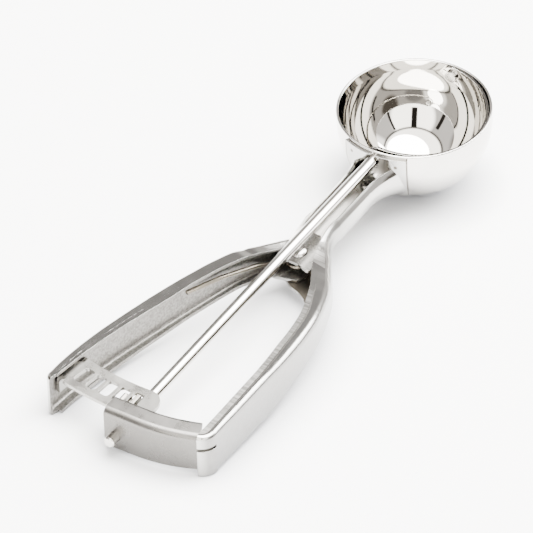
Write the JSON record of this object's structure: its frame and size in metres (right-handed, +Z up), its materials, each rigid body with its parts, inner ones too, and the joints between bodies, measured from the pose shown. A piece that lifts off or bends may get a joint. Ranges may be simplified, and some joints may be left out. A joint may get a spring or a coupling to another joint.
{
  "type": "ice cream scoop",
  "caption": "Squeeze-handle ice cream scoop: squeezing the hinged lever moves a slotted rack that turns a pinion, rod and blade round inside the bowl.",
  "frame": {"origin": "on the table, under the middle of the tool's outline, the scoop lying on its bowl and on the ends of both grips", "axes": "+X from the bowl to the grips' ends, +Y to the fixed handle's side, +Z up, out of the bowl's mouth"},
  "size_m": [0.2104, 0.0618, 0.0327],
  "materials": {
    "bowl": "polished stainless steel",
    "fixed_handle": "polished stainless steel sheet, satin inner strip",
    "cross_arm": "satin stainless steel sheet",
    "lever_handle": "polished stainless steel sheet",
    "rack_plate": "satin stainless steel plate",
    "pivot_rivet": "bright stainless steel",
    "spacer_sleeve": "turned stainless steel",
    "torsion_spring": "drawn spring wire",
    "rod": "polished stainless steel rod",
    "pinion": "milled stainless steel",
    "sweep_blade": "polished stainless steel strip",
    "blade_rivet": "bright stainless steel"
  },
  "bodies": {
    "frame": {"bowl": "bowl", "fixed_handle": "fixed_handle", "cross_arm": "cross_arm", "pivot_rivet": "pivot_rivet", "spacer_sleeve": "spacer_sleeve", "torsion_spring": "torsion_spring"},
    "lever": {"lever_handle": "lever_handle", "rack_plate": "rack_plate"},
    "sweep": {"rod": "rod", "pinion": "pinion", "sweep_blade": "sweep_blade", "blade_rivet": "blade_rivet"}
  },
  "joints": [
    {"name": "lever_squeeze", "type": "hinge", "parent": "frame", "child": "lever", "pos_m": [-0.00789, -0.00145, 0.01076], "axis": [0.1081, 0, 0.9941], "range_deg": [0, 11], "stiffness_Nm_per_rad": 5, "springref_deg": -5.73, "deforming": ["torsion_spring"]},
    {"name": "sweep_turn", "type": "hinge", "parent": "frame", "child": "sweep", "pos_m": [-0.07865, -0.00145, 0.02606], "axis": [0.9941, 0, -0.1081], "range_deg": [-170, 0]}
  ],
  "couplings": [
    {"joint": "sweep_turn", "follows": "lever_squeeze", "ratio": -15.375}
  ]
}
